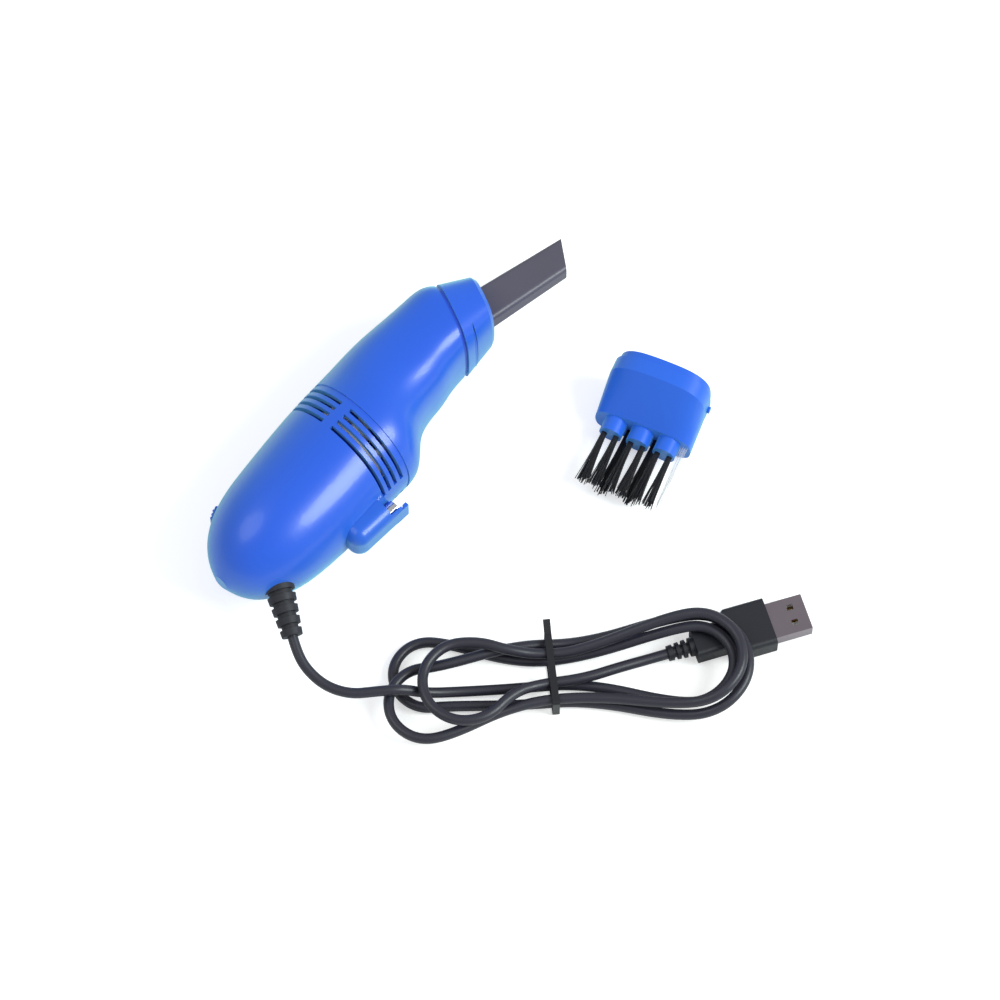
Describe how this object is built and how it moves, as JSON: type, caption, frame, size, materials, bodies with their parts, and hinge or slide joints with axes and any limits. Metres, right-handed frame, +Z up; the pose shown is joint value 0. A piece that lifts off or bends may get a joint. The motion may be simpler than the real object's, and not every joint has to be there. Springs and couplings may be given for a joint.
{
  "type": "desktop mini vacuum cleaner",
  "caption": "Small hand-held vacuum cleaner with vented casing, angled suction nozzle, belly lamp, slide switch, tied cord with plug, and a brush attachment.",
  "frame": {"origin": "on the table, under the middle of the box round the cleaner and its brush attachment, without the cord and the plug", "axes": "+X from the cleaner's tail to its nose, +Y towards its switch side, +Z up from the table on which it lies on its side"},
  "size_m": [0.1597, 0.1626, 0.0411],
  "materials": {
    "blue_casing": "satin",
    "blue_pod": "satin",
    "blue_knob": "satin",
    "blue_inner": "matt",
    "blue_brush": "satin",
    "grey_nozzle": "satin",
    "white_plastic": "matt",
    "filter_cloth": "woven",
    "motor_steel": "brushed",
    "shaft_steel": "polished",
    "screw_steel": "plated",
    "black_plastic": "matt",
    "bronze": "sintered",
    "carbon": "matt",
    "copper": "plain",
    "magnet": "matt",
    "board": "matt",
    "bright_plastic": "bright",
    "clear_plastic": "clear",
    "black_rubber": "matt",
    "cord_jacket": "satin",
    "tie_plastic": "satin",
    "plug_plastic": "matt",
    "plug_steel": "plated",
    "brass_contacts": "plated",
    "black_bristle": "satin",
    "pale_bristle": "satin"
  },
  "bodies": {
    "body": {"shell_right": "blue_casing", "shell_left": "blue_casing", "shell_screws": "screw_steel", "motor_can": "motor_steel", "motor_end_cap": "black_plastic", "motor_bush_front": "bronze", "motor_bush_rear": "bronze", "motor_carbons": "carbon", "motor_terminals": "copper", "motor_magnets": "magnet", "motor_plate": "blue_inner", "motor_screws": "screw_steel", "fan_shroud": "blue_inner", "circuit_board": "board", "switch_case": "black_plastic", "switch_pins": "copper", "lamp_housing": "blue_pod", "lamp_reflector": "bright_plastic", "lamp_led": "clear_plastic", "strain_relief": "black_rubber", "cord_lead": "cord_jacket", "cord_hank": "cord_jacket", "cord_tail": "cord_jacket", "hank_tie": "tie_plastic", "plug_grip": "plug_plastic", "plug_shell": "plug_steel", "plug_tongue": "white_plastic", "plug_contacts": "brass_contacts"},
    "switch_slider": {"switch_knob": "blue_knob"},
    "rotor": {"motor_shaft": "shaft_steel", "motor_armature": "motor_steel", "motor_commutator": "copper", "impeller": "white_plastic"},
    "nozzle_cap": {"nozzle_cap": "blue_casing"},
    "crevice_nozzle": {"crevice_nozzle": "grey_nozzle"},
    "filter": {"filter_frame": "white_plastic", "filter_mesh": "filter_cloth"},
    "brush": {"brush_head": "blue_brush", "brush_tufts_front": "black_bristle", "brush_tufts_back": "black_bristle", "brush_bristles_pale": "pale_bristle"}
  },
  "joints": [
    {"name": "switch_slide", "type": "slide", "parent": "body", "child": "switch_slider", "axis": [-0.8746, -0.4848, 0], "range_m": [0, 0.003]},
    {"name": "rotor_spin", "type": "hinge", "parent": "body", "child": "rotor", "pos_m": [-0.0238, 0.0281, 0.0205], "axis": [1, 0, 0], "continuous": true},
    {"name": "cap_pull", "type": "slide", "parent": "body", "child": "nozzle_cap", "axis": [0.9272, -0.3746, 0], "range_m": [0, 0.014]},
    {"name": "nozzle_pull", "type": "slide", "parent": "nozzle_cap", "child": "crevice_nozzle", "axis": [0.9848, -0.1736, 0], "range_m": [0, 0.006]},
    {"name": "filter_pull", "type": "slide", "parent": "body", "child": "filter", "axis": [0.9272, -0.3746, 0], "range_m": [0, 0.007]},
    {"name": "brush_lift", "type": "slide", "parent": "body", "child": "brush", "axis": [0, 0, 1], "range_m": [0, 0.04]}
  ],
  "couplings": [
    {"joint": "filter_pull", "follows": "cap_pull", "ratio": 0.5}
  ]
}
